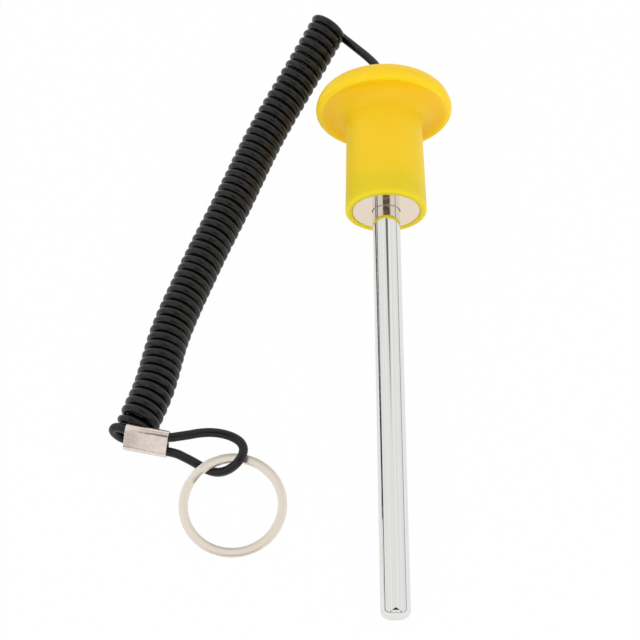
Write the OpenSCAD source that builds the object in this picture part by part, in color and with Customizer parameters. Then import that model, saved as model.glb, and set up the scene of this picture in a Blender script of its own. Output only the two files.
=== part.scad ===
// Weight stack pin: a steel selector pin with a moulded knob, a ring magnet that holds it
// against the stack, and a coiled safety cord that ends in a crimped loop and a split ring.
// It lies as it comes to rest: on the rim of its knob and on the tip of its pin.

/* [Pin] */
// Diameter of the pin's shaft
pin_d = 10; // [6:0.1:12]
// Length of the shaft from the magnet's face to the tip
pin_reach = 152.6; // [90:0.1:240]
// Rounding of the edge at the tip
tip_r = 2.3; // [0.3:0.1:2.8]
// How far the shaft steps down where it passes through the magnet
seat_step = 0.2; // [0.1:0.05:0.5]
// Diameter of the turned-down tail inside the knob
tail_d = 8; // [4:0.1:8]
// Height of the tail's end above the magnet's face
tail_len = 36; // [20:0.1:38]

/* [Knob] */
// Wall of the barrel round the magnet, at its open mouth
rim_wall = 2.4; // [1.6:0.1:5]
// How much the barrel's radius shrinks from its mouth to its neck
barrel_draft = 0.75; // [0:0.05:2]
// Diameter of the head
head_d = 51.3; // [46:0.1:70]
// Height of the head's widest ring above the magnet's face
head_at = 43.8; // [43:0.1:56]
// Rounding of the head's upper edge
top_r = 7.3; // [3:0.1:9]
// Rounding of the head's lower edge
under_r = 1.8; // [0.8:0.1:3]
// Height of the hollow neck, from the barrel's end to the head's widest ring
neck_h = 6.9; // [4:0.1:9]
// Radius of the head's slightly domed top
crown_r = 130; // [80:1:300]
// Rounding of the barrel's outer edge at the mouth
mouth_r = 0.8; // [0.3:0.1:1.2]
// How far the mouth stands proud of the magnet's face
mouth_lip = 0.3; // [0:0.1:1]
// Depth of the blind bore for the tail and the cord's stop, from the magnet's face
bore_depth = 44; // [42:0.1:46]

/* [Magnet] */
// Diameter of the ring magnet
magnet_d = 24.8; // [18:0.1:26]
// Thickness of the ring magnet
magnet_t = 8; // [3:0.1:12]
// Radial gap between the magnet and its pocket
pocket_gap = 0.15; // [0.05:0.01:0.3]
// Radial clearance of the shaft in the magnet
bore_gap = 0.1; // [0.05:0.01:0.2]
// Radial clearance of the tail in the knob
tail_gap = 0.05; // [0.02:0.01:0.1]

/* [Cord] */
// Diameter of the cord
cord_d = 3.2; // [2.4:0.1:3.4]
// Outer diameter of the coiled stretch
coil_d = 14.9; // [12:0.1:18]
// Radial clearance of the cord in the hole through the head
hole_gap = 0.1; // [0.05:0.01:0.3]
// Depth of the chamfer round the cord's hole
hole_chamfer = 0.6; // [0.2:0.1:1.5]
// Diameter of the crimped stop on the cord's end inside the knob
stop_d = 7; // [5:0.1:7.4]
// Length of the crimped stop
stop_len = 6; // [4:0.1:6.5]

/* [Ferrule] */
// Length of the crimped ferrule
ferrule_len = 15.3; // [10:0.1:20]
// Distance between the two strands in the ferrule
lane_pitch = 5.2; // [4:0.1:6]
// Wall of the ferrule
ferrule_wall = 0.5; // [0.3:0.05:0.8]
// Radial clearance of the cord in the ferrule
lane_gap = 0.06; // [0.02:0.01:0.1]
// Turn of the ferrule, seen from above, from the sideways axis
ferrule_turn = -11.7; // [-30:0.1:30]
// Lean of the ferrule's broad face from the level
ferrule_lean = 45; // [0:1:60]

/* [Split ring] */
// Outer diameter of the split ring
ring_d = 37; // [30:0.1:45]
// Width of its flat wire
wire_w = 3.15; // [2.5:0.01:4]
// Thickness of one turn of the wire
wire_t = 0.7; // [0.5:0.01:1]
// Gap between the two turns
turn_gap = 0.08; // [0.05:0.01:0.2]
// Rounding of the wire's corners
wire_r = 0.22; // [0.1:0.01:0.24]
// Where the upper turn ends, counted round the ring
end_at = 152; // [90:1:180]
// Angle over which the wire steps from the lower turn to the upper one
step_angle = 21; // [12:1:40]
// Tilt of the ring where it rests on the cord's side
ring_tilt = 7; // [0:0.1:10]

/* [Hidden] */
$fn = 64;

// Length by which a cutting solid passes the face that it opens
past = 1;

// Resting pose: the tip's rounding and the head's lower edge both touch the table
rest_up = head_d / 2 - under_r - pin_d / 2 + tip_r;
rest_along = head_at + pin_reach - tip_r;
rest_drop = under_r - tip_r;
lean = atan2(rest_up, rest_along) + asin(rest_drop / norm([rest_up, rest_along]));
axis_z = (head_d / 2 - under_r) * cos(lean) + under_r - head_at * sin(lean);

// Head: the domed top runs smoothly into the rounding of the upper edge
top_in = head_d / 2 - top_r;
crown_at = head_at - sqrt(pow(crown_r - top_r, 2) - pow(top_in, 2));
knob_top = crown_at + crown_r;
crown_end = top_in * crown_r / (crown_r - top_r);
crown_angle = asin(crown_end / crown_r);

// Barrel: it is as wide as the magnet, its pocket and the wall ask for
barrel_r = magnet_d / 2 + pocket_gap + rim_wall;
waist_r = barrel_r - barrel_draft;

// Neck: a hollow round that touches the barrel and the head's lower edge
neck_gap = head_d / 2 - under_r - waist_r;
neck_r = (pow(neck_gap, 2) + pow(neck_h, 2) - pow(under_r, 2)) / (2 * (neck_gap + under_r));
neck_at = head_at - neck_h;
neck_angle = atan2(neck_h, neck_gap - neck_r);

// The object's middle along its length lies over the origin
tip_y = (pin_reach - tip_r) * cos(lean) + (pin_d / 2 - tip_r) * sin(lean) + tip_r;
dome_y = crown_at * cos(lean) + crown_r;
edge_y = head_at * cos(lean) + top_in * sin(lean) + top_r;
head_y = lean < crown_angle ? dome_y : edge_y;
axis_y = (tip_y - head_y) / 2;

// Ferrule, held a little above the table by the stiff end of the coil
lane_r = cord_d / 2 + lane_gap;
ferrule_r = lane_r + ferrule_wall;
ferrule_mid = [-84.3, -38.8, 9.2];

// Split ring on the table, with its far side raised
ring_t = 2 * wire_t + turn_gap;
ring_mid = [-54.3, -60.4, ring_d / 2 * sin(ring_tilt) + ring_t / 2 * cos(ring_tilt)];

// Cord from the knob to the coil, along the coil's middle, round its last turn, and from the
// ferrule's upper strand round the loop to its lower strand
lead_points = [[-0.7, 109, 27.1], [-3, 115.2, 26.8], [-5.6, 119, 26.4], [-10, 124.7, 25.4],
               [-13.4, 129, 24.6], [-17, 132, 23.6], [-20.4, 131.6, 22.8]];
coil_points = [[-20, 134.4, 28], [-30.6, 116.2, 21.7], [-44.9, 90.5, 14.5], [-57, 62.5, 9.6],
               [-68.6, 34, 7.6], [-78.4, 4.9, 7.5], [-83.6, -19, 7.5], [-87.9, -31.6, 7.5]];
turn_points = [[-92.9, -30.9, 10.1], [-90.9, -31.8, 11.5], [-88.6, -32.3, 11.2], [-86.5, -32.7, 9.7],
               [-84.7, -33.4, 7.9], [-83.5, -34.4, 6], [-83.5, -35.4, 4.1], [-84.7, -36, 2.7],
               [-86.6, -35.9, 2], [-88.9, -35.5, 1.7], [-91.8, -35, 2.3], [-94.3, -34.6, 4],
               [-95.8, -34.3, 6.2], [-96.2, -34.2, 8.4], [-95.4, -34.2, 10.1], [-93.8, -34.6, 10.9]];
loop_points = [[-73.4, -38.2, 10.9], [-70.2, -37.5, 10.6], [-65.9, -36.5, 10.2], [-61.7, -36.1, 9.8],
               [-57.5, -36.6, 9.4], [-54.1, -37.9, 9.2], [-52, -39.5, 9.1], [-50.9, -41.8, 9],
               [-51.2, -44.2, 8.7], [-52.7, -46.5, 7.9], [-54.9, -47.7, 6], [-57.7, -48.1, 3.9],
               [-60.6, -47.5, 2.2], [-63.4, -46.4, 1.7], [-66.2, -44.8, 1.8], [-68.9, -43.6, 2.9],
               [-71.3, -43, 4.5], [-73.8, -42.5, 6.2]];

// Points of an arc, from one angle to another
function arc(c, r, a0, a1, n) = [for (i = [0:n]) c + r * [cos(a0 + (a1 - a0) * i / n), sin(a0 + (a1 - a0) * i / n)]];

// A point of the knob's own axis, seen in the part's frame
function on_axis(t) = [0, axis_y + t * cos(lean), axis_z + t * sin(lean)];

// A point in the ferrule: along its length, and towards its upper strand
function in_ferrule(along, up) = ferrule_mid + along * [cos(ferrule_turn), sin(ferrule_turn), 0]
    + up * [-sin(ferrule_turn) * cos(ferrule_lean), cos(ferrule_turn) * cos(ferrule_lean), sin(ferrule_lean)];

// One point of a smooth curve through four neighbours, at k between the middle two
function blend(p, k) = ((2 * p[1]) + (p[2] - p[0]) * k + (2 * p[0] - 5 * p[1] + 4 * p[2] - p[3]) * k * k
    + (3 * p[1] - p[0] - 3 * p[2] + p[3]) * k * k * k) / 2;

// A smooth curve through a route, with a few steps between two of its points
function smooth(route, steps) = let (n = len(route) - 1)
    [for (i = [0:n - 1], k = [0:steps - 1])
        blend([route[max(i - 1, 0)], route[i], route[i + 1], route[min(i + 2, n)]], k / steps),
     route[n]];

// Direction of a route at its point i
function heading(route, i) = let (d = route[min(i + 1, len(route) - 1)] - route[max(i - 1, 0)]) d / norm(d);

// Where the cord leaves the coil: on the outer side of the coil's lower end
coil_tip = let (n = len(coil_points) - 1)
    coil_points[n] + (coil_d - cord_d) / 2 * cross(heading(coil_points, n), [0, 0, 1]);

// One ring of a round tube, square to its route
function tube_ring(route, i, r, sides) = let (h = heading(route, i), s = cross(h, [0, 0, 1]) / norm(cross(h, [0, 0, 1])),
    u = cross(s, h)) [for (k = [0:sides - 1]) route[i] + r * (sin(360 * k / sides) * s - cos(360 * k / sides) * u)];

// A round tube along a route
module tube(route, r, sides) {
    n = len(route);
    points = [for (i = [0:n - 1]) each tube_ring(route, i, r, sides)];
    walls = [for (i = [0:n - 2], k = [0:sides - 1]) let (k2 = (k + 1) % sides)
        [i * sides + k, i * sides + k2, (i + 1) * sides + k2, (i + 1) * sides + k]];
    polyhedron(points, concat([[for (k = [sides - 1:-1:0]) k]], walls, [[for (k = [0:sides - 1]) (n - 1) * sides + k]]),
        convexity = 8);
}

// Places what is drawn along the knob's axis, with the magnet's face at its zero
module along_axis() {
    translate(on_axis(0)) rotate([lean - 90, 0, 0]) children();
}

// Outline of the knob: mouth, tapered barrel, hollow neck, round edge and domed top
module knob_outline() {
    mouth = arc([barrel_r - mouth_r, mouth_r - mouth_lip], mouth_r, -90, 0, 6);
    neck = arc([waist_r + neck_r, neck_at], neck_r, 180, neck_angle, 14);
    under = arc([head_d / 2 - under_r, head_at], under_r, neck_angle - 180, 0, 12);
    upper = arc([top_in, head_at], top_r, 0, 90 - crown_angle, 14);
    crown = arc([0, crown_at], crown_r, 90 - crown_angle, 90, 8);
    polygon(concat([[0, -mouth_lip]], mouth, neck, under, upper, crown));
}

module knob() {
    color("gold") along_axis() difference() {
        rotate_extrude($fn = 128) knob_outline();
        translate([0, 0, -mouth_lip - past]) cylinder(d = magnet_d + 2 * pocket_gap, h = magnet_t + mouth_lip + past);
        cylinder(d = tail_d + 2 * tail_gap, h = bore_depth);
        cylinder(d = cord_d + 2 * hole_gap, h = knob_top + past);
        translate([0, 0, knob_top - hole_chamfer])
            cylinder(d1 = cord_d + 2 * hole_gap, d2 = cord_d + 2 * hole_gap + 4 * hole_chamfer, h = 2 * hole_chamfer);
    }
}

// The shaft steps down a little inside the magnet, and to its tail on the pocket's floor
module pin() {
    seat_r = pin_d / 2 - seat_step;
    shaft = concat([[0, -pin_reach]], arc([pin_d / 2 - tip_r, tip_r - pin_reach], tip_r, -90, 0, 8),
        [[pin_d / 2, 0], [seat_r, 0], [seat_r, magnet_t], [0, magnet_t]]);
    color("silver") along_axis() {
        rotate_extrude() polygon(shaft);
        cylinder(d = tail_d, h = tail_len);
    }
}

module magnet() {
    color("mistyrose") along_axis() difference() {
        cylinder(d = magnet_d, h = magnet_t);
        translate([0, 0, -past]) cylinder(d = pin_d + 2 * bore_gap, h = magnet_t + 2 * past);
    }
}

module cord_stop() {
    color("gray") along_axis() translate([0, 0, bore_depth - stop_len]) cylinder(d = stop_d, h = stop_len);
}

module cord_lead() {
    straight = [for (t = [bore_depth, (bore_depth + knob_top) / 2, knob_top + cord_d]) on_axis(t)];
    color("black") tube(concat([straight[0], straight[1]], smooth(concat([straight[2]], lead_points), 2)), cord_d / 2, 8);
}

module cord_coil() {
    color("black") tube(smooth(coil_points, 3), coil_d / 2, 20);
}

module cord_loop() {
    half = ferrule_len / 2;
    lane = lane_pitch / 2;
    // The strand is straight in the ferrule, and a little way out of each end
    out = 0.8;
    loop = smooth(concat([in_ferrule(half + out, lane)], loop_points, [in_ferrule(half + out, -lane)]), 2);
    color("black") tube(concat([coil_tip], turn_points, [in_ferrule(-half, lane), in_ferrule(half, lane)], loop,
        [in_ferrule(half, -lane), in_ferrule(out - half, -lane)]), cord_d / 2, 8);
}

module ferrule() {
    color("mistyrose") translate(ferrule_mid) rotate([0, 0, ferrule_turn]) rotate([ferrule_lean, 0, 0])
        rotate([90, 0, 90]) translate([0, 0, -ferrule_len / 2]) difference() {
            oval_bar(ferrule_r, ferrule_len);
            translate([0, 0, -past]) oval_bar(lane_r, ferrule_len + 2 * past);
        }
}

// A bar with flat sides and two round edges, one for each strand
module oval_bar(r, h) {
    for (side = [-1, 1]) translate([side * lane_pitch / 2, 0, 0]) cylinder(r = r, h = h);
    translate([-lane_pitch / 2, -r, 0]) cube([lane_pitch, 2 * r, h]);
}

// Section of the ring's flat wire at a height, with rounded corners
function wire_section(z) = let (x0 = ring_d / 2 - wire_w + wire_r, x1 = ring_d / 2 - wire_r,
    z0 = z + wire_r, z1 = z + wire_t - wire_r)
    concat(arc([x0, z0], wire_r, 180, 270, 2), arc([x1, z0], wire_r, 270, 360, 2),
           arc([x1, z1], wire_r, 0, 90, 2), arc([x0, z1], wire_r, 90, 180, 2));

// Height of the wire after an angle along it: flat for a turn, then up the step, then flat again
function wire_height(along, turn) = let (k = min(max((along - turn) / step_angle, 0), 1))
    (wire_t + turn_gap) * k * k * (3 - 2 * k);

// The flat wire runs from its lower end through two turns and the step between them
module split_ring() {
    turn = 360 - step_angle;
    steps = 96;
    sections = [for (i = [0:steps]) let (along = (2 * turn + step_angle) * i / steps, a = end_at + turn - along)
        [for (p = wire_section(wire_height(along, turn))) [p[0] * cos(a), p[0] * sin(a), p[1]]]];
    sides = len(sections[0]);
    walls = [for (i = [0:steps - 1], k = [0:sides - 1]) let (k2 = (k + 1) % sides)
        [i * sides + k, (i + 1) * sides + k, (i + 1) * sides + k2, i * sides + k2]];
    color("wheat") translate(ring_mid) rotate([ring_tilt, 0, 0]) translate([0, 0, -ring_t / 2])
        polyhedron([for (s = sections) each s],
            concat([[for (k = [0:sides - 1]) k]], walls, [[for (k = [sides - 1:-1:0]) steps * sides + k]]),
            convexity = 4);
}

knob();
pin();
magnet();
cord_stop();
cord_lead();
cord_coil();
cord_loop();
ferrule();
split_ring();
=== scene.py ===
# %% [markdown]
# # A weight stack pin with its safety cord
# A selector pin picks the weights of a gym machine: a chromed steel shaft is pushed through the
# stack, and a ring magnet in the mouth of its moulded knob holds it there. A coiled cord keeps it
# from getting lost, and ends in a crimped loop that carries a split ring.
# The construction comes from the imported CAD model, which is loaded first. What is made here are
# the visible surfaces and their finishes. Sizes are written in millimetres and turned into metres,
# Blender's own unit, where they are used.

# %% Load the frame
import math

import bpy
import numpy as np
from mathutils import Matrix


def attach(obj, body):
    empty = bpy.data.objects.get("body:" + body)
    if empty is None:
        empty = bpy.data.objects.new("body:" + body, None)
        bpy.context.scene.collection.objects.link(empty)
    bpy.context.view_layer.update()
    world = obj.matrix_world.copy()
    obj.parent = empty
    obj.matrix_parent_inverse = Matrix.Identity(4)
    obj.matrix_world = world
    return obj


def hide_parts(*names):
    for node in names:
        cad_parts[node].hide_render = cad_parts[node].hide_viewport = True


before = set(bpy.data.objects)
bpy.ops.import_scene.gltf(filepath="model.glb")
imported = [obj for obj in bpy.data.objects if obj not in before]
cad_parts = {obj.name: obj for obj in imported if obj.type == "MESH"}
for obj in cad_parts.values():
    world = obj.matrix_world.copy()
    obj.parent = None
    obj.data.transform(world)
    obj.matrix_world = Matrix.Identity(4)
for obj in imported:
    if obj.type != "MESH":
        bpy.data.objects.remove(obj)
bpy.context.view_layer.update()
MM = 0.001

# %% [markdown]
# ## Camera
# The picture was taken from high in front with a longish lens. A camera is easiest to place by the
# point it looks at, its distance and two angles, because each of those can be measured alone.

# %% Camera
LOOK_AT = np.array([-24.39, 15.82, 0.0]) * MM
DISTANCE = 608.6 * MM
ELEVATION = math.radians(57.865)
AZIMUTH = math.radians(-0.173)
LENS_MM = 93.31

camera_data = bpy.data.cameras.new("camera")
camera_data.lens = LENS_MM
camera = bpy.data.objects.new("camera", camera_data)
towards_camera = np.array([
    math.sin(AZIMUTH) * math.cos(ELEVATION),
    -math.cos(AZIMUTH) * math.cos(ELEVATION),
    math.sin(ELEVATION),
])
camera.location = LOOK_AT + DISTANCE * towards_camera
camera.rotation_euler = (math.pi / 2 - ELEVATION, 0, AZIMUTH)
bpy.context.scene.collection.objects.link(camera)
bpy.context.scene.camera = camera
print("camera at", [round(v, 3) for v in camera.location])

# %% [markdown]
# ## Meshes from grids of points
# Every surface here is a grid: points worked out by a formula, in rows and columns. One helper
# joins the grid's neighbours with faces and puts the arrays into a mesh at once, which is much
# quicker than adding vertices one by one. Edges sharper than an angle stay crisp.

# %% A mesh from a grid
def grid_faces(rows, columns, wrap_rows, wrap_columns):
    """Quads of a grid: each joins a point with its neighbours along the row and in the next row."""
    r = np.arange(rows if wrap_rows else rows - 1)[:, None]
    c = np.arange(columns if wrap_columns else columns - 1)[None, :]
    r2, c2 = (r + 1) % rows, (c + 1) % columns
    corners = [r * columns + c, r * columns + c2, r2 * columns + c2, r2 * columns + c]
    return np.stack(corners, -1).reshape(-1, 4)


def make_piece(name, points, faces, caps=(), sharp=40.0):
    """A smooth-shaded mesh object at the origin; caps are closing faces given as lists of points."""
    mesh = bpy.data.meshes.new(name)
    mesh.from_pydata(points.reshape(-1, 3).tolist(), [], faces.tolist() + [list(cap) for cap in caps])
    mesh.shade_smooth()
    mesh.set_sharp_from_angle(angle=math.radians(sharp))
    piece = bpy.data.objects.new(name, mesh)
    bpy.context.scene.collection.objects.link(piece)
    print(f"{name}: {len(mesh.vertices)} points, {len(mesh.polygons)} faces")
    return piece


# %% [markdown]
# ## The cord's route
# The cord is one length of polyurethane tube with a core: it leaves the knob, is wound into a
# long coil, passes through the ferrule, goes round the split ring and comes back into the ferrule.
# The straight and loose stretches follow listed points. The coil is worked out instead: a
# point goes round a curved spine at a steady pitch, and real length comes out of the formula.

# %% The route's points
CORD_D = 3.2 * MM
COIL_D = 14.9 * MM
COIL_TURNS = 53
COIL_START = math.radians(-80)
COIL_END = math.radians(-180 - 360 * COIL_TURNS)
POINTS_PER_TURN = 24

LEAN = math.radians(6.068)
KNOB_MOUTH = np.array([0.0, 49.56, 20.873]) * MM
KNOB_AXIS = np.array([0.0, math.cos(LEAN), math.sin(LEAN)])
BORE_DEPTH = 44 * MM
KNOB_TOP = 52.48 * MM

lead_points = np.array([
    [-0.7, 109, 27.1], [-3, 115.2, 26.8], [-5.6, 119, 26.4], [-10, 124.7, 25.4], [-13.4, 129, 24.6],
]) * MM
spine_points = np.array([
    [-20, 134.4, 28], [-30.6, 116.2, 21.7], [-44.9, 90.5, 14.5], [-57, 62.5, 9.6],
    [-68.6, 34, 7.6], [-78.4, 4.9, 7.5], [-83.6, -19, 7.5], [-87.9, -31.6, 7.5],
]) * MM
turn_points = np.array([
    [-92.9, -30.9, 10.1], [-90.9, -31.8, 11.5], [-88.6, -32.3, 11.2], [-86.5, -32.7, 9.7],
    [-84.7, -33.4, 7.9], [-83.5, -34.4, 6], [-83.5, -35.4, 4.1], [-84.7, -36, 2.7],
    [-86.6, -35.9, 2], [-88.9, -35.5, 1.7], [-91.8, -35, 2.3], [-94.3, -34.6, 4],
    [-95.8, -34.3, 6.2], [-96.2, -34.2, 8.4], [-95.4, -34.2, 10.1], [-93.8, -34.6, 10.9],
]) * MM
loop_points = np.array([
    [-73.4, -38.2, 10.9], [-70.2, -37.5, 10.6], [-65.9, -36.5, 10.2], [-61.7, -36.1, 9.8],
    [-57.5, -36.6, 9.4], [-54.1, -37.9, 9.2], [-52, -39.5, 9.1], [-50.9, -41.8, 9],
    [-51.2, -44.2, 8.7], [-52.7, -46.5, 7.9], [-54.9, -47.7, 6], [-57.7, -48.1, 3.9],
    [-60.6, -47.5, 2.2], [-63.4, -46.4, 1.7], [-66.2, -44.8, 1.8], [-68.9, -43.6, 2.9],
    [-71.3, -43, 4.5], [-73.8, -42.5, 6.2],
]) * MM

# %% [markdown]
# In the ferrule both strands lie straight, side by side. It is turned on the table and leans back,
# so its three directions are worked out once here, and the cord and the ferrule's own wall are
# both drawn in them. Turning finished meshes would also do, but then the cord wouldn't follow.

# %% The ferrule's two lanes
FERRULE_LEN = 15.3 * MM
FERRULE_HALF = FERRULE_LEN / 2
LANE_PITCH = 5.2 * MM
FERRULE_FIT, FERRULE_WALL = 0.06 * MM, 0.5 * MM
FERRULE_R = CORD_D / 2 + FERRULE_FIT + FERRULE_WALL
FERRULE_TURN = math.radians(-11.7)
FERRULE_LEAN = math.radians(45)
FERRULE_MID = np.array([-84.3, -38.8, 9.2]) * MM
FERRULE_ALONG = np.array([math.cos(FERRULE_TURN), math.sin(FERRULE_TURN), 0.0])
FERRULE_UP = np.array([
    -math.sin(FERRULE_TURN) * math.cos(FERRULE_LEAN),
    math.cos(FERRULE_TURN) * math.cos(FERRULE_LEAN),
    math.sin(FERRULE_LEAN),
])
FERRULE_FACE = np.cross(FERRULE_ALONG, FERRULE_UP)
print("ferrule's middle in mm:", (FERRULE_MID / MM).round(1).tolist())


def in_ferrule(along, lane):
    """The point at this distance along the ferrule, in its upper (1) or lower (-1) lane."""
    return FERRULE_MID + along * FERRULE_ALONG + lane * LANE_PITCH / 2 * FERRULE_UP


# %% [markdown]
# A stiff cord bends smoothly, so its few points need a smooth curve through them. Blender's curve
# objects could give one, but cubics worked out here keep every point known, so the cord's real
# length can be measured along them.

# %% Smooth curves
def distances(points):
    """Distance of each point along the line that joins them all."""
    return np.concatenate([[0], np.cumsum(np.linalg.norm(np.diff(points, axis=0), axis=1))])


def curve_through(points, spacing):
    """A curve with even steps through the points: on each stretch a cubic whose slopes at both ends
    are the mean of the neighbouring stretches' slopes, each weighted by the other one's length."""
    s = distances(points)
    h = np.diff(s)[:, None]
    slope = np.diff(points, axis=0) / h
    inner = (slope[:-1] * h[1:] + slope[1:] * h[:-1]) / (h[1:] + h[:-1])
    slopes = np.vstack([slope[:1], inner, slope[-1:]])
    at = np.linspace(0, s[-1], max(2, round(s[-1] / spacing)) + 1)
    i = np.clip(np.searchsorted(s, at, side="right") - 1, 0, len(h) - 1)
    k = ((at - s[i]) / h[i, 0])[:, None]
    return ((2 * k**3 - 3 * k**2 + 1) * points[i] + (k**3 - 2 * k**2 + k) * h[i] * slopes[i]
            + (3 * k**2 - 2 * k**3) * points[i + 1] + (k**3 - k**2) * h[i] * slopes[i + 1])


def directions(points):
    """Unit vector along the curve at each point, from its two neighbours."""
    d = np.gradient(points, axis=0)
    return d / np.linalg.norm(d, axis=1, keepdims=True)


# %% [markdown]
# The cord was wound on a rod and heated, so the coil keeps its shape and only bends as a whole. A
# screw modifier could wind it round a straight axis, but this coil lies in a curve and has sagged
# a little. A formula that walks a point round a curved spine takes both in.

# %% The coil
SPINE_STEP = 0.5 * MM
SAG = 1.65 * MM
SAG_END = 0.5
UNEVEN = 0.1 * MM


def coil():
    """Points of the coil: spine + radius * (cos angle * side + sin angle * up), where the angle
    falls steadily along the spine, and side and up stand square to the spine. With them come the
    spine's direction at each point and its length."""
    spine = curve_through(spine_points, SPINE_STEP)
    s = distances(spine)
    steps = round(POINTS_PER_TURN * (COIL_START - COIL_END) / math.tau)
    angle = np.linspace(COIL_START, COIL_END, steps + 1)
    part = (angle - COIL_START) / (COIL_END - COIL_START)
    # The first half of the coil has sagged down the slope a little, so its turns lie further along
    sagged = np.clip(part / SAG_END, 0, 1)
    at = part * s[-1] + SAG * np.sin(math.pi * sagged) ** 2
    # Every other turn lies a hair further along, and least so near the ends
    at += UNEVEN * np.cos(angle / 2) * np.sin(math.pi * part)
    centre = np.stack([np.interp(at, s, spine[:, i]) for i in range(3)], 1)
    ahead = np.stack([np.interp(at, s, directions(spine)[:, i]) for i in range(3)], 1)
    side = np.cross(ahead, [0, 0, 1])
    side = -side / np.linalg.norm(side, axis=1, keepdims=True)
    up = np.cross(ahead, side)
    up *= np.sign(up[:, 2:])
    radius = (COIL_D - CORD_D) / 2
    return centre + radius * (np.cos(angle)[:, None] * side + np.sin(angle)[:, None] * up), ahead, s[-1]


coil_points, coil_ahead, spine_length = coil()
turns = (COIL_START - COIL_END) / math.tau
print(f"coil: {turns:.1f} turns at a pitch of {spine_length / turns / MM:.2f} mm")

# %% [markdown]
# The stretches now become one route. It leaves the knob straight, and its last end stays just
# inside the ferrule, out of sight. They could be separate tubes, but then their joints would show.
# A guiding direction goes with every point: along the spine on the coil and its last turn, up on
# the loop, and turning slowly from one to the other between. It keeps the tube from twisting.

# %% The whole cord
STRAIGHT = CORD_D
LANE_MORE = 0.4 * MM
CORD_STEP = 0.9 * MM
BORE_POINTS, LANE_POINTS = 6, 7
before = np.vstack([
    [KNOB_MOUTH + t * KNOB_AXIS for t in np.linspace(BORE_DEPTH, KNOB_TOP + STRAIGHT, BORE_POINTS)],
    lead_points,
])
past_end = FERRULE_HALF + LANE_MORE
last_end = 2 * LANE_MORE - FERRULE_HALF
upper_lane = np.array([in_ferrule(x, 1) for x in np.linspace(-past_end, past_end, LANE_POINTS)])
lower_lane = np.array([in_ferrule(x, -1) for x in np.linspace(past_end, last_end, LANE_POINTS)])
route = np.vstack([before, coil_points, turn_points, upper_lane, loop_points, lower_lane])
UP = np.array([0.0, 0.0, 1.0])
guide = np.vstack([
    np.linspace(UP, coil_ahead[0], len(before)),
    coil_ahead,
    np.tile(coil_ahead[-1], (len(turn_points), 1)),
    np.linspace(coil_ahead[-1], UP, len(upper_lane)),
    np.tile(UP, (len(loop_points) + len(lower_lane), 1)),
])
line = curve_through(route, CORD_STEP)


# %% [markdown]
# The jacket is a round tube. A curve object with a bevel would do too, and needs less code, but it
# chooses its own twist where a coil turns steeply. Rings of points set square to the line, each
# lined up with the guide, give even faces all the way.

# %% A tube along a line
CORD_SIDES = 20


def tube(name, line, radius, sides, towards):
    """Rings of points square to the line: centre + radius * (cos a * x + sin a * y). x is square to
    the line and to a guiding direction, which must not run along the line."""
    ahead = directions(line)
    x = np.cross(ahead, towards)
    x /= np.linalg.norm(x, axis=1, keepdims=True)
    y = np.cross(ahead, x)
    a = np.linspace(0, math.tau, sides, endpoint=False)
    ring = np.cos(a)[None, :, None] * x[:, None] + np.sin(a)[None, :, None] * y[:, None]
    points = line[:, None] + radius * ring
    faces = grid_faces(len(line), sides, False, True)[:, ::-1]
    last = (len(line) - 1) * sides
    caps = [list(range(sides)), list(range(last + sides - 1, last - 1, -1))]
    return make_piece(name, points, faces, caps, sharp=60)


s_route = distances(route)
s_line = np.linspace(0, s_route[-1], len(line))
guides = np.stack([np.interp(s_line, s_route, guide[:, i]) for i in range(3)], 1)
cord = tube("safety_cord", line, CORD_D / 2, CORD_SIDES, guides)

# %% [markdown]
# ## Turned and moulded pieces
# The knob, the pin and the magnet are all round about one axis. A lathe or a mould's outline makes
# them in reality, so here too an outline is turned round the axis. The outline is drawn once, with
# its round stretches as arcs.

# %% An outline turned round the knob's axis
ACROSS = np.array([1.0, 0.0, 0.0])
ABOVE = np.cross(ACROSS, KNOB_AXIS)


def arc(centre, radius, start, end, steps):
    """Points of a circle's arc, as pairs of distance from the axis and height along it, in mm."""
    a = np.radians(np.linspace(start, end, steps + 1))
    return np.stack([centre[0] + radius * np.cos(a), centre[1] + radius * np.sin(a)], 1)


def turned(name, outline, sides, closed, sharp=40.0):
    """Turns an outline of (radius, height) in mm: mouth + height * axis + radius * (cos a * across +
    sin a * above). An open outline starts and ends on the axis, where one point closes each end."""
    a = np.linspace(0, math.tau, sides, endpoint=False)
    outline = np.asarray(outline) * MM
    body = outline if closed else outline[1:-1]
    round_ = np.cos(a)[:, None] * ACROSS + np.sin(a)[:, None] * ABOVE
    points = KNOB_MOUTH + body[:, 1, None, None] * KNOB_AXIS + body[:, 0, None, None] * round_
    faces = grid_faces(len(body), sides, closed, True)
    if closed:
        return make_piece(name, points, faces, sharp=sharp)
    ends = KNOB_MOUTH + outline[[0, -1], 1, None] * KNOB_AXIS
    points = np.vstack([points.reshape(-1, 3), ends])
    count = len(body) * sides
    around = np.arange(sides)
    after_it = (around + 1) % sides
    first = np.stack([np.full(sides, count), after_it, around], 1)
    last = np.stack([np.full(sides, count + 1), count - sides + around, count - sides + after_it], 1)
    return make_piece(name, points, faces, first.tolist() + last.tolist(), sharp=sharp)


# %% [markdown]
# ### The knob
# It is injection moulded: a barrel with a little draft, a hollow neck, and a mushroom head with a
# tight lower edge and a wide upper one. A rough cage with subdivision would be quicker, but its
# rounds would have no real radius. Here all rounds are arcs that meet without a corner, as a mould
# maker would draw them, because light shows every corner on a glossy surface.

# %% Knob
MOUTH_R, WAIST_R, HEAD_R = 14.95, 14.2, 25.65
HEAD_AT, TOP_R, UNDER_R, NECK_H, CROWN_R = 43.8, 7.3, 1.8, 6.9, 130.0
MOUTH_ROUND, MOUTH_LIP = 0.8, 0.3
MAGNET_R, MAGNET_T, POCKET_GAP, POCKET_ROUND = 12.4, 8.0, 0.15, 0.2
TAIL_R, TAIL_LEN, TAIL_GAP = 4.0, 36.0, 0.05
HOLE_R, HOLE_CHAMFER = 1.7, 0.6


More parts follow.
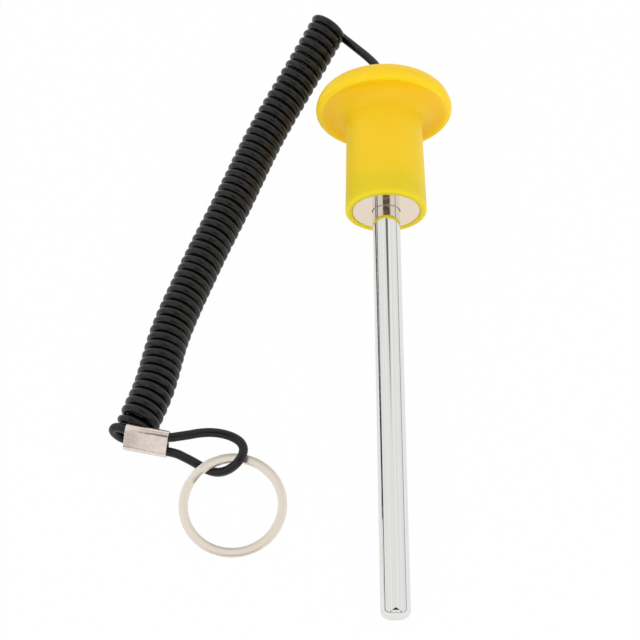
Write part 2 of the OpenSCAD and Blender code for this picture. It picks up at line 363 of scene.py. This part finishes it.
def knob():
    """Closed outline: out of the cord's hole, over the domed top, round the head, down the neck and
    barrel, round the mouth, then back along the magnet's pocket and the tail's bore. The neck's arc
    touches the barrel and the head's lower edge, so its radius is
    (gap * gap + height * height - edge * edge) / (2 * (gap + edge))."""
    top_in = HEAD_R - TOP_R
    crown_at = HEAD_AT - math.sqrt((CROWN_R - TOP_R) ** 2 - top_in**2)
    crown_angle = math.degrees(math.asin(top_in / (CROWN_R - TOP_R)))
    neck_gap = HEAD_R - UNDER_R - WAIST_R
    neck_r = (neck_gap**2 + NECK_H**2 - UNDER_R**2) / (2 * (neck_gap + UNDER_R))
    neck_angle = math.degrees(math.atan2(NECK_H, neck_gap - neck_r))
    top = crown_at + CROWN_R
    hole_angle = math.degrees(math.asin((HOLE_R + HOLE_CHAMFER) / CROWN_R))
    pocket_r = MAGNET_R + POCKET_GAP
    outline = np.vstack([
        [[HOLE_R, BORE_DEPTH / MM], [HOLE_R, top - HOLE_CHAMFER]],
        arc([HOLE_R + HOLE_CHAMFER, top - HOLE_CHAMFER], HOLE_CHAMFER, 180, 90, 6)[1:-1],
        arc([0, crown_at], CROWN_R, 90 - hole_angle, 90 - crown_angle, 24),
        arc([top_in, HEAD_AT], TOP_R, 90 - crown_angle, 0, 32)[1:],
        arc([HEAD_R - UNDER_R, HEAD_AT], UNDER_R, 0, neck_angle - 180, 24)[1:],
        arc([WAIST_R + neck_r, HEAD_AT - NECK_H], neck_r, neck_angle, 180, 28)[1:],
        arc([MOUTH_R - MOUTH_ROUND, MOUTH_ROUND - MOUTH_LIP], MOUTH_ROUND, 0, -90, 10),
        arc([pocket_r + POCKET_ROUND, POCKET_ROUND - MOUTH_LIP], POCKET_ROUND, -90, -180, 4),
        [[pocket_r, MAGNET_T], [TAIL_R + TAIL_GAP, MAGNET_T], [TAIL_R + TAIL_GAP, BORE_DEPTH / MM]],
    ])
    return turned("moulded_knob", outline[::-1], sides=192, closed=True, sharp=50)


knob_piece = knob()

# %% [markdown]
# ### The pin and the magnet
# The shaft is drawn bar with a turned tip, plated with nickel and chrome. Its shoulder holds the
# ring magnet in the knob's mouth. The magnet is ground flat, with a small chamfer. Cylinders with a
# Bevel modifier would come close, but an outline gives the tip, the seat and the tail in one piece.

# %% Pin and magnet
PIN_R, PIN_REACH, TIP_R = 5.0, 152.6, 2.3
TIP_FLAT, SHAFT_RINGS, LAST_RING = 1.2, 40, 0.02
SEAT_R, MAGNET_BORE, MAGNET_EDGE, MAGNET_FIT = 4.8, 5.1, 0.15, 0.01


def pin():
    """Outline from the tip's middle, round the tip and up the shaft to the shoulder, then up the
    thinner seat and the tail."""
    along_shaft = np.linspace(TIP_R - PIN_REACH, -LAST_RING, SHAFT_RINGS)
    outline = np.vstack([
        [[0, -PIN_REACH], [TIP_FLAT, -PIN_REACH]],
        arc([PIN_R - TIP_R, TIP_R - PIN_REACH], TIP_R, -90, 0, 20),
        np.column_stack([np.full(SHAFT_RINGS, PIN_R), along_shaft])[1:],
        [[PIN_R, 0], [SEAT_R, 0], [SEAT_R, MAGNET_T]],
        [[TAIL_R, MAGNET_T], [TAIL_R, TAIL_LEN], [0, TAIL_LEN]],
    ])
    return turned("chromed_pin", outline, sides=160, closed=False)


def magnet():
    """Closed outline of a flat ring with a chamfer on its outer and inner front edges."""
    back_face = MAGNET_T - MAGNET_FIT
    outline = [
        [MAGNET_BORE, MAGNET_EDGE], [MAGNET_BORE + MAGNET_EDGE, 0],
        [MAGNET_R - MAGNET_EDGE, 0], [MAGNET_R, MAGNET_EDGE],
        [MAGNET_R, back_face], [MAGNET_BORE, back_face],
    ]
    return turned("ring_magnet", outline, sides=160, closed=True, sharp=30)


pin_piece = pin()
magnet_piece = magnet()

# %% [markdown]
# ## The ferrule
# A short oval tube of plated brass is pushed over both strands and pressed flat. A flattened
# cylinder would be quick, but its wall would get thinner where it was squeezed. An outline of two
# half circles joined by flats keeps the wall even, and is carried up the outside, round the rim
# and down the inside.

# %% Ferrule
ARC_POINTS, FLAT_POINTS, RIM_POINTS = 24, 10, 9


def oval(radius):
    """Two half circles joined by flats, with evenly spread points on the arcs and on the flats."""
    right = np.radians(np.linspace(-90, 90, ARC_POINTS))
    flats = np.linspace(-1, 1, FLAT_POINTS + 2)[1:-1]
    x = np.concatenate([LANE_PITCH / 2 + radius * np.cos(right), LANE_PITCH / 2 * flats[::-1],
                        -LANE_PITCH / 2 - radius * np.cos(right), LANE_PITCH / 2 * flats])
    y = np.concatenate([radius * np.sin(right), np.full(len(flats), radius),
                        -radius * np.sin(right), np.full(len(flats), -radius)])
    return x, y


def ferrule():
    """Rings of the oval along a closed path whose two rims are half circles across the wall:
    middle + x * up + y * face + t * along, with radius = mid wall -+ rim * sin a."""
    rim = FERRULE_WALL / 2
    middle = FERRULE_R - rim
    a = np.radians(np.linspace(-90, 90, RIM_POINTS))
    radius = np.concatenate([middle - rim * np.sin(a), middle + rim * np.sin(a)])
    end_at = FERRULE_HALF - rim
    along = np.concatenate([end_at + rim * np.cos(a), -end_at - rim * np.cos(a)])
    rings = []
    for r, t in zip(radius, along):
        x, y = oval(r)
        rings.append(FERRULE_MID + t * FERRULE_ALONG + x[:, None] * FERRULE_UP + y[:, None] * FERRULE_FACE)
    points = np.array(rings)
    faces = grid_faces(len(points), points.shape[1], True, True)
    return make_piece("crimped_ferrule", points, faces, sharp=50)


ferrule_piece = ferrule()

# %% [markdown]
# ## The split ring
# Flat wire is wound into two turns that lie on each other. At one place the wire steps over its own
# end to the upper turn. Two flat rings with a notch would look alike from far off, but carrying the
# wire's section round the whole path gives both cut ends and the step as on the real ring.

# %% Split ring
RING_R, WIRE_W, WIRE_T, TURN_GAP, WIRE_ROUND = 18.5, 3.15, 0.7, 0.08, 0.22
END_AT, STEP_ANGLE = 152.0, 21.0
TURN_POINTS, STEP_POINTS = 180, 24
RING_TILT = math.radians(7)
RING_T = 2 * WIRE_T + TURN_GAP
RING_MID = np.array([-54.3, -60.4, RING_R * math.sin(RING_TILT) + RING_T / 2 * math.cos(RING_TILT)]) * MM


def split_ring():
    """The wire's rounded section carried round: radius and height of each of its points stay the
    same along a turn, and the height rises smoothly by one turn's pitch over the step's angle."""
    turn = 360 - STEP_ANGLE
    lower = np.linspace(END_AT + turn, END_AT, TURN_POINTS)
    step = np.linspace(END_AT, END_AT - STEP_ANGLE, STEP_POINTS)
    upper = np.linspace(END_AT - STEP_ANGLE, END_AT - 360, TURN_POINTS)
    angle = np.radians(np.concatenate([lower, step[1:-1], upper]))
    k = np.concatenate([np.zeros(TURN_POINTS), np.linspace(0, 1, STEP_POINTS)[1:-1], np.ones(TURN_POINTS)])
    # A smooth step has no slope at either end: 3 k k - 2 k k k
    rise = (WIRE_T + TURN_GAP) * k * k * (3 - 2 * k)
    w, t, r = WIRE_W / 2 - WIRE_ROUND, WIRE_T / 2 - WIRE_ROUND, WIRE_ROUND
    section = np.vstack([arc([w, t], r, 0, 90, 4), arc([-w, t], r, 90, 180, 4),
                         arc([-w, -t], r, 180, 270, 4), arc([w, -t], r, 270, 360, 4)])
    radius = RING_R - WIRE_W / 2 + section[:, 0]
    height = WIRE_T / 2 - RING_T / 2 + rise[:, None] + section[:, 1]
    x = np.cos(angle)[:, None] * radius
    y = np.sin(angle)[:, None] * radius
    points = RING_MID + MM * np.stack([
        x, y * math.cos(RING_TILT) - height * math.sin(RING_TILT),
        y * math.sin(RING_TILT) + height * math.cos(RING_TILT),
    ], -1)
    count = len(section)
    last = (len(angle) - 1) * count
    caps = [list(range(count)), list(range(last + count - 1, last - 1, -1))]
    faces = grid_faces(len(angle), count, False, True)[:, ::-1]
    return make_piece("split_key_ring", points, faces, caps, sharp=40)


ring_piece = split_ring()

# %% [markdown]
# ## Materials
# Colours are picked as sRGB hex values, as a designer names them, and Blender wants linear light,
# so one function converts them. One more adds a node with its settings and links. Each finish is
# then one shader set to middle values, and a few patterns in real millimetres that vary them.

# %% Material helpers
def colour(code):
    """sRGB hex to linear RGBA: a channel up to 0.04045 is divided by 12.92, and a higher one gets
    0.055 more, is divided by 1.055 and taken to the power 2.4."""
    c = np.array([int(code[i:i + 2], 16) / 255 for i in (1, 3, 5)])
    linear = np.where(c <= 0.04045, c / 12.92, ((c + 0.055) / 1.055) ** 2.4)
    return (*linear.tolist(), 1.0)


def add(tree, kind, inputs=None, **settings):
    """Adds a node, sets its properties, then sets or links each named or numbered input."""
    item = tree.nodes.new(kind)
    for key, value in settings.items():
        setattr(item, key, value)
    for key, value in (inputs or {}).items():
        if isinstance(value, bpy.types.NodeSocket):
            tree.links.new(value, item.inputs[key])
        else:
            item.inputs[key].default_value = value
    return item


def number(tree, operation, *values):
    """One step of arithmetic on numbers and patterns."""
    return add(tree, "ShaderNodeMath", dict(enumerate(values)), operation=operation).outputs[0]


def finish_of(name, base, roughness, metallic=0.0, **extra):
    """A new material whose one shader is set to the finish's middle colour and blur."""
    material = bpy.data.materials.new(name)
    material.use_nodes = True
    tree = material.node_tree
    shader = tree.nodes["Principled BSDF"]
    shader.inputs["Base Color"].default_value = colour(base)
    shader.inputs["Roughness"].default_value = roughness
    shader.inputs["Metallic"].default_value = metallic
    for key, value in extra.items():
        shader.inputs[key.replace("_", " ")].default_value = value
    return material, tree, shader


def vary(tree, shader, socket, pattern):
    """Lets a pattern vary one of the shader's values."""
    tree.links.new(pattern, shader.inputs[socket])


def grain(tree, size_mm, stretch=(1, 1, 1), detail=2.0, at=(0, 0, 0), turn=(0, 0, 0)):
    """Noise on the piece's own coordinates, noise(place / size), so grains are about size_mm
    across. They can be stretched along the axes of a frame that is moved and turned to sit on
    the piece."""
    place = add(tree, "ShaderNodeTexCoord")
    local = add(tree, "ShaderNodeMapping", {
        "Vector": place.outputs["Object"], "Location": at, "Rotation": turn, "Scale": stretch,
    }, vector_type="TEXTURE")
    inputs = {"Vector": local.outputs[0], "Scale": 1 / (size_mm * MM), "Detail": detail}
    return add(tree, "ShaderNodeTexNoise", inputs).outputs["Fac"]


def bumps(tree, shader, height, depth_mm):
    """Turns a height pattern into bumps of a real depth."""
    bump = add(tree, "ShaderNodeBump", {"Distance": depth_mm * MM, "Height": height})
    vary(tree, shader, "Normal", bump.outputs[0])


def spread(tree, value, low, high):
    """Spreads a pattern's middle range, 0.3 to 0.7, over the range from low to high."""
    inputs = {"Value": value, "From Min": 0.3, "From Max": 0.7, "To Min": low, "To Max": high}
    return add(tree, "ShaderNodeMapRange", inputs).outputs["Result"]


def between(tree, fac, first, second):
    """Mixes two colours by a pattern."""
    inputs = {0: fac, 6: colour(first), 7: colour(second)}
    return add(tree, "ShaderNodeMix", inputs, data_type="RGBA").outputs[2]


# %% [markdown]
# ### Moulded yellow plastic
# The knob is ABS, injection moulded in a satin mould, so it has no grain but a very faint orange
# peel, and light goes a little way into it before it comes back. That scatter is what makes its
# hollow neck glow warmly instead of going grey. It could be faked with a lighter shadow colour, but
# subsurface scattering at a real depth in millimetres keeps its look under any light. Red and green
# light go deep in yellow plastic and blue hardly at all, which the three radii say.

# %% Yellow ABS
def moulded_yellow():
    """Warm yellow with a soft gloss, a faint peel 2 mm across, tones that drift over 14 mm, and
    scatter that spreads over 6 mm."""
    material, tree, shader = finish_of(
        "moulded_yellow_abs", "#F4CE13", 0.42, Specular_IOR_Level=0.35,
        Subsurface_Weight=1.0, Subsurface_Scale=6 * MM, Subsurface_Radius=(1.0, 0.85, 0.2),
    )
    bumps(tree, shader, grain(tree, 2.0), 0.012)
    mottle = grain(tree, 14, detail=1.0)
    vary(tree, shader, "Base Color", between(tree, mottle, "#F3CC10", "#F6D116"))
    return material


# %% [markdown]
# ### Chrome and nickel
# The shaft is ground bar with bright chrome on nickel: a true mirror whose only structure is the
# trace of grinding along it. The magnet's plating is softer and warmer, and its face was ground,
# which spreads reflections a little. A picture of scratches could be laid on both, but a metal's
# colour is its base colour and its blur is its roughness, so two values and one fine pattern do.

# %% Chrome and nickel
SHAFT_TURN = (LEAN, 0, 0)


def chrome():
    """A neutral bright mirror. Grinding marks run along the shaft and vary the blur. They are drawn
    0.25 mm apart, coarser than the real ones, so that they show."""
    material, tree, shader = finish_of("chromed_steel", "#E8E8E6", 0.055, 1.0)
    marks = grain(tree, 0.25, stretch=(1, 60, 1), at=KNOB_MOUTH, turn=SHAFT_TURN)
    vary(tree, shader, "Roughness", spread(tree, marks, 0.03, 0.08))
    return material


def nickel_face():
    """A warm mirror whose blur changes in cloudy patches 3 mm across."""
    material, tree, shader = finish_of("nickel_plated_magnet", "#F3E4D6", 0.115, 1.0)
    vary(tree, shader, "Roughness", spread(tree, grain(tree, 3.0), 0.07, 0.16))
    return material


# %% [markdown]
# ### Pressed and rolled nickel plate
# The ferrule is soft brass tube under nickel, and the press leaves it with a mottled, slightly
# dented face. The ring's wire was rolled flat and coiled, so its marks run round with it. Marks
# that follow a piece need a frame that sits on it: the ferrule's is turned to its length, and for
# the ring the pattern reads radius and angle in place of two of its axes. Anisotropic shading could
# stretch the glints instead, but it would need a tangent map, and the lines themselves wouldn't show.

# %% Ferrule and ring
LINE_MM, LINE_STRETCH = 0.45, 120


def pressed_brass():
    """Warm nickel in two tones, mixed in patches 1.5 mm across, with dents 2.2 mm across and
    0.03 mm deep, and scratches along the ferrule, drawn 0.3 mm apart so that they show."""
    material, tree, shader = finish_of("plated_ferrule", "#ECDFD6", 0.25, 1.0)
    patches = spread(tree, grain(tree, 1.5), 0, 1)
    vary(tree, shader, "Base Color", between(tree, patches, "#E6D7CD", "#F1E6DF"))
    scratches = grain(tree, 0.3, stretch=(25, 1, 1), at=FERRULE_MID, turn=(FERRULE_LEAN, 0, FERRULE_TURN))
    vary(tree, shader, "Roughness", spread(tree, scratches, 0.2, 0.3))
    bumps(tree, shader, grain(tree, 2.2, detail=1.0), 0.03)
    return material


def ring_wire():
    """Warm satin nickel. Brush lines run round the ring, drawn 0.45 mm apart so that they show:
    noise of (radius, angle * ring radius / 120), so a line is 120 times as long as it is wide."""
    material, tree, shader = finish_of("plated_ring_wire", "#F4EADC", 0.24, 1.0)
    place = add(tree, "ShaderNodeTexCoord")
    local = add(tree, "ShaderNodeMapping", {
        "Vector": place.outputs["Object"], "Location": RING_MID, "Rotation": (RING_TILT, 0, 0),
    }, vector_type="TEXTURE")
    x, y = add(tree, "ShaderNodeSeparateXYZ", {0: local.outputs[0]}).outputs[:2]
    flat = add(tree, "ShaderNodeCombineXYZ", {0: x, 1: y})
    radius = add(tree, "ShaderNodeVectorMath", {0: flat.outputs[0]}, operation="LENGTH")
    swept = number(tree, "MULTIPLY", number(tree, "ARCTAN2", y, x), RING_R * MM / LINE_STRETCH)
    wound = add(tree, "ShaderNodeCombineXYZ", {0: radius.outputs["Value"], 1: swept})
    inputs = {"Vector": wound.outputs[0], "Scale": 1 / (LINE_MM * MM), "Detail": 0.0}
    lines = add(tree, "ShaderNodeTexNoise", inputs).outputs["Fac"]
    vary(tree, shader, "Roughness", spread(tree, lines, 0.2, 0.28))
    vary(tree, shader, "Base Color", between(tree, spread(tree, lines, 0, 1), "#F1E6D6", "#F7EEE1"))
    return material


# %% [markdown]
# ### Black polyurethane
# The cord's jacket is extruded polyurethane: nearly black, a little waxy, with a broad soft gloss
# that finger marks and dust break up. Very small waves along it come from the extruder. Two noises
# are enough for that: a wide one for the gloss and a fine one for the waves.

# %% Polyurethane and the hidden stop
def polyurethane():
    """Nearly black, with a gloss that changes in patches 5 mm across, and waves 1.2 mm apart."""
    material, tree, shader = finish_of("black_polyurethane", "#0B0A09", 0.3, IOR=1.45)
    vary(tree, shader, "Roughness", spread(tree, grain(tree, 5.0, detail=3.0), 0.22, 0.38))
    bumps(tree, shader, grain(tree, 1.2, detail=1.0), 0.03)
    return material


def crimped_aluminium():
    """The sleeve that keeps the cord's end in the knob: plain aluminium, with marks of the crimping
    tool 0.4 mm apart along it."""
    material, tree, shader = finish_of("crimped_aluminium", "#C4C4C8", 0.4, 1.0)
    bumps(tree, shader, grain(tree, 0.4, stretch=(1, 8, 1), at=KNOB_MOUTH, turn=SHAFT_TURN), 0.03)
    return material


# %% [markdown]
# ## Dressing the pieces
# Each piece now gets its finish. It rides on the body of the CAD model that it moves with, so the
# ring turns when its joint turns. It also stands for the plain solids that it replaces, which stay
# in the simulation and are only hidden here.

# %% Dress and seat the pieces
for piece, material, node_names, slot, body in (
    (knob_piece, moulded_yellow(), ["knob"], "knob", "root"),
    (pin_piece, chrome(), ["pin"], "pin", "root"),
    (magnet_piece, nickel_face(), ["magnet"], "magnet", "root"),
    (ferrule_piece, pressed_brass(), ["ferrule"], "ferrule", "root"),
    (ring_piece, ring_wire(), ["split_ring"], "split_ring", "ring"),
    (cord, polyurethane(), ["cord_lead", "cord_coil", "cord_loop"], "cord", "root"),
):
    piece.data.materials.append(material)
    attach(piece, body)
    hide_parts(*node_names)
    print(f"{piece.name}: {material.name}, rides on {body}")

# %% [markdown]
# The stop on the cord's end is a plain sleeve deep in the knob. Its CAD solid has the right shape,
# so it stays, and only its material changes.

# %% The stop inside the knob
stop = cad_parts["cord_stop"]
stop.data.materials.clear()
stop.data.materials.append(crimped_aluminium())
print("cord_stop:", stop.data.materials[0].name)

# %% [markdown]
# ## Floor and light
# The picture has a pure white ground and very even light, as from a light tent. The floor could
# simply be left out, but then the object would float. So it stays a real surface that keeps a faint
# shadow, and for the camera and in reflections it is mixed with plain white. The table also glows
# a little from below, as a light table does, and that light reaches the hollow under the head.

# %% Floor
FLOOR_REACH = 3.0
FLOOR_WHITE = 0.98
MIRRORED_WHITE = 0.45
TABLE_GLOW = 0.25

floor_mesh = bpy.data.meshes.new("floor")
corners = [(x * FLOOR_REACH, y * FLOOR_REACH, 0) for x, y in ((-1, -1), (1, -1), (1, 1), (-1, 1))]
floor_mesh.from_pydata(corners, [], [(0, 1, 2, 3)])
floor = bpy.data.objects.new("floor", floor_mesh)
bpy.context.scene.collection.objects.link(floor)

floor_material = bpy.data.materials.new("white_paper")
floor_material.use_nodes = True
tree = floor_material.node_tree
tree.nodes.clear()
ray = add(tree, "ShaderNodeLightPath").outputs
seen = number(tree, "MAXIMUM", ray["Is Camera Ray"], ray["Is Transmission Ray"])
share = number(tree, "MULTIPLY_ADD", ray["Is Glossy Ray"], MIRRORED_WHITE - TABLE_GLOW, TABLE_GLOW)
share = number(tree, "MULTIPLY_ADD", seen, FLOOR_WHITE - TABLE_GLOW, share)
paper = add(tree, "ShaderNodeBsdfDiffuse", {"Color": colour("#F8F8F7")})
white = add(tree, "ShaderNodeEmission", {"Color": (1, 1, 1, 1), "Strength": 1.0})
mixed = add(tree, "ShaderNodeMixShader", {0: share, 1: paper.outputs[0], 2: white.outputs[0]})
add(tree, "ShaderNodeOutputMaterial", {"Surface": mixed.outputs[0]})
floor_mesh.materials.append(floor_material)
print(f"floor: {2 * FLOOR_REACH} m wide")

# %% [markdown]
# ### What the chrome sees
# A light tent is not white all round. Its cloth hangs in soft folds, its seam with the table is a
# darker band just over the horizon, and a dark flag hangs high behind. In front it has an opening,
# where the camera stands and the warm brown room beyond shows, and lower down the cloth shows again
# between the legs of the stand. A mirror shows all of them, and without them chrome looks like
# white plastic. Cards could be built round the object, but a drawing in the world, as a formula of
# the direction, is simpler to aim. Only reflections see it, and all else gets an even soft light.

# %% World
TENT_LIGHT = 0.86
FOLDS, FOLD_DARK, FOLD_LIGHT = 5.0, 0.78, 1.05
SEAM_LOW, SEAM_HIGH, SEAM_EDGE = 0.0, 0.09, 0.05
SEAM_DARK, SEAM_DARKER_LEFT = 0.8, -0.18
OPENING_HALF, OPENING_SPREAD, OPENING_SOFT, OPENING_DARK = 0.08, 0.6, 0.1, 0.94
OPENING_FROM, OPENING_FULL = -0.03, 0.06
LEGS_BELOW, LEGS_HALF, LEGS_SOFT = 0.64, 0.47, 0.05
FLAG_TOWARDS, FLAG_REACH, FLAG_EDGE, FLAG_DARK = (-0.01, 0.44, 0.898), 4.0, 7.0, 0.85


def step_up(tree, value, low, high):
    """A smooth step from 0 at low to 1 at high."""
    inputs = {"Value": value, "From Min": low, "From Max": high}
    return add(tree, "ShaderNodeMapRange", inputs, interpolation_type="SMOOTHSTEP").outputs["Result"]


def darker(tree, strength, share, where):
    """Takes a share of the strength away where a pattern is 1: strength * (1 - share * where)."""
    left = number(tree, "MULTIPLY_ADD", where, number(tree, "MULTIPLY", share, -1.0), 1.0)
    return number(tree, "MULTIPLY", strength, left)


world = bpy.data.worlds.new("studio")
bpy.context.scene.world = world
world.use_nodes = True
tree = world.node_tree
tree.nodes.clear()
ray = add(tree, "ShaderNodeLightPath").outputs
direction = add(tree, "ShaderNodeTexCoord").outputs["Generated"]
right, back, height = add(tree, "ShaderNodeSeparateXYZ", {0: direction}).outputs
front = number(tree, "MULTIPLY", back, -1.0)
aside = number(tree, "ABSOLUTE", right)

# %% Folds and seam
across = add(tree, "ShaderNodeCombineXYZ", {0: right}).outputs[0]
folds = add(tree, "ShaderNodeTexNoise", {"Vector": across, "Scale": FOLDS, "Detail": 3.0})
mirrored = spread(tree, folds.outputs["Fac"], FOLD_DARK, FOLD_LIGHT)
above_low = step_up(tree, height, SEAM_LOW - SEAM_EDGE / 2, SEAM_LOW)
above_high = step_up(tree, height, SEAM_HIGH, SEAM_HIGH + SEAM_EDGE)
seam = number(tree, "SUBTRACT", above_low, above_high)
seam_dark = number(tree, "MULTIPLY_ADD", right, SEAM_DARKER_LEFT, SEAM_DARK)
mirrored = darker(tree, mirrored, seam_dark, seam)

# %% Opening and flag
half_width = number(tree, "MULTIPLY_ADD", front, OPENING_SPREAD, OPENING_HALF)
inside = number(tree, "SUBTRACT", half_width, aside)
opening = number(
    tree, "MULTIPLY", step_up(tree, inside, -OPENING_SOFT, OPENING_SOFT),
    step_up(tree, front, OPENING_FROM, OPENING_FULL),
)
low_enough = step_up(tree, front, LEGS_BELOW - LEGS_SOFT, LEGS_BELOW)
between_legs = number(tree, "MULTIPLY", low_enough, number(tree, "LESS_THAN", aside, LEGS_HALF))
opening = number(tree, "MULTIPLY", opening, number(tree, "SUBTRACT", 1.0, between_legs))
mirrored = darker(tree, mirrored, OPENING_DARK, opening)
near = add(tree, "ShaderNodeVectorMath", {0: direction, 1: FLAG_TOWARDS}, operation="DOT_PRODUCT")
rim, core = (math.cos(math.radians(FLAG_REACH + edge)) for edge in (FLAG_EDGE, 0))
mirrored = darker(tree, mirrored, FLAG_DARK, step_up(tree, near.outputs["Value"], rim, core))

# %% Who sees which sky
seen = number(tree, "MAXIMUM", ray["Is Camera Ray"], ray["Is Transmission Ray"])
room = between(tree, opening, "#FFFFFF", "#D9A877")
soft = add(tree, "ShaderNodeBackground", {"Color": (1, 1, 1, 1), "Strength": TENT_LIGHT})
tent = add(tree, "ShaderNodeBackground", {"Color": room, "Strength": mirrored})
plain = add(tree, "ShaderNodeBackground", {"Color": (1, 1, 1, 1), "Strength": 1.0})
mixed = add(tree, "ShaderNodeMixShader", {0: ray["Is Glossy Ray"], 1: soft.outputs[0], 2: tent.outputs[0]})
mixed = add(tree, "ShaderNodeMixShader", {0: seen, 1: mixed.outputs[0], 2: plain.outputs[0]})
add(tree, "ShaderNodeOutputWorld", {"Surface": mixed.outputs[0]})
print("world:", len(tree.nodes), "nodes")

# %% [markdown]
# ### Two softboxes
# The tent gives most of the light. Alone it would leave the knob flat, so a wide softbox from the
# right gives its rounds a lighter side, and a stronger one from the left in front lights the hollow
# under the head. Small lamps would throw hard shadows, so both are nearly a metre wide. Reflections
# don't see them, because the world already draws what the chrome mirrors.

# %% Lamps
AIM = np.array([-0.03, 0.02, 0.0])
SOFTBOX_SIZE = 0.9


def softbox(name, place, watts):
    """A square area lamp that points at the object."""
    lamp = bpy.data.lights.new(name, "AREA")
    lamp.energy = watts
    lamp.size = SOFTBOX_SIZE
    box = bpy.data.objects.new(name, lamp)
    box.location = place
    aim = AIM - np.array(place)
    yaw = math.atan2(aim[1], aim[0])
    pitch = math.atan2(math.hypot(aim[0], aim[1]), -aim[2])
    box.rotation_euler = (pitch, 0, yaw - math.pi / 2)
    box.visible_glossy = False
    bpy.context.scene.collection.objects.link(box)
    print(f"{name}: {watts} W, {np.linalg.norm(aim):.2f} m away")


softbox("right_softbox", (0.7, -0.3, 0.8), 1.3)
softbox("left_softbox", (-0.6, -0.8, 0.5), 2.4)

# %% [markdown]
# ## Picture settings
# The Standard view shows each colour as it was written.

# %% Picture settings
bpy.context.scene.view_settings.view_transform = "Standard"
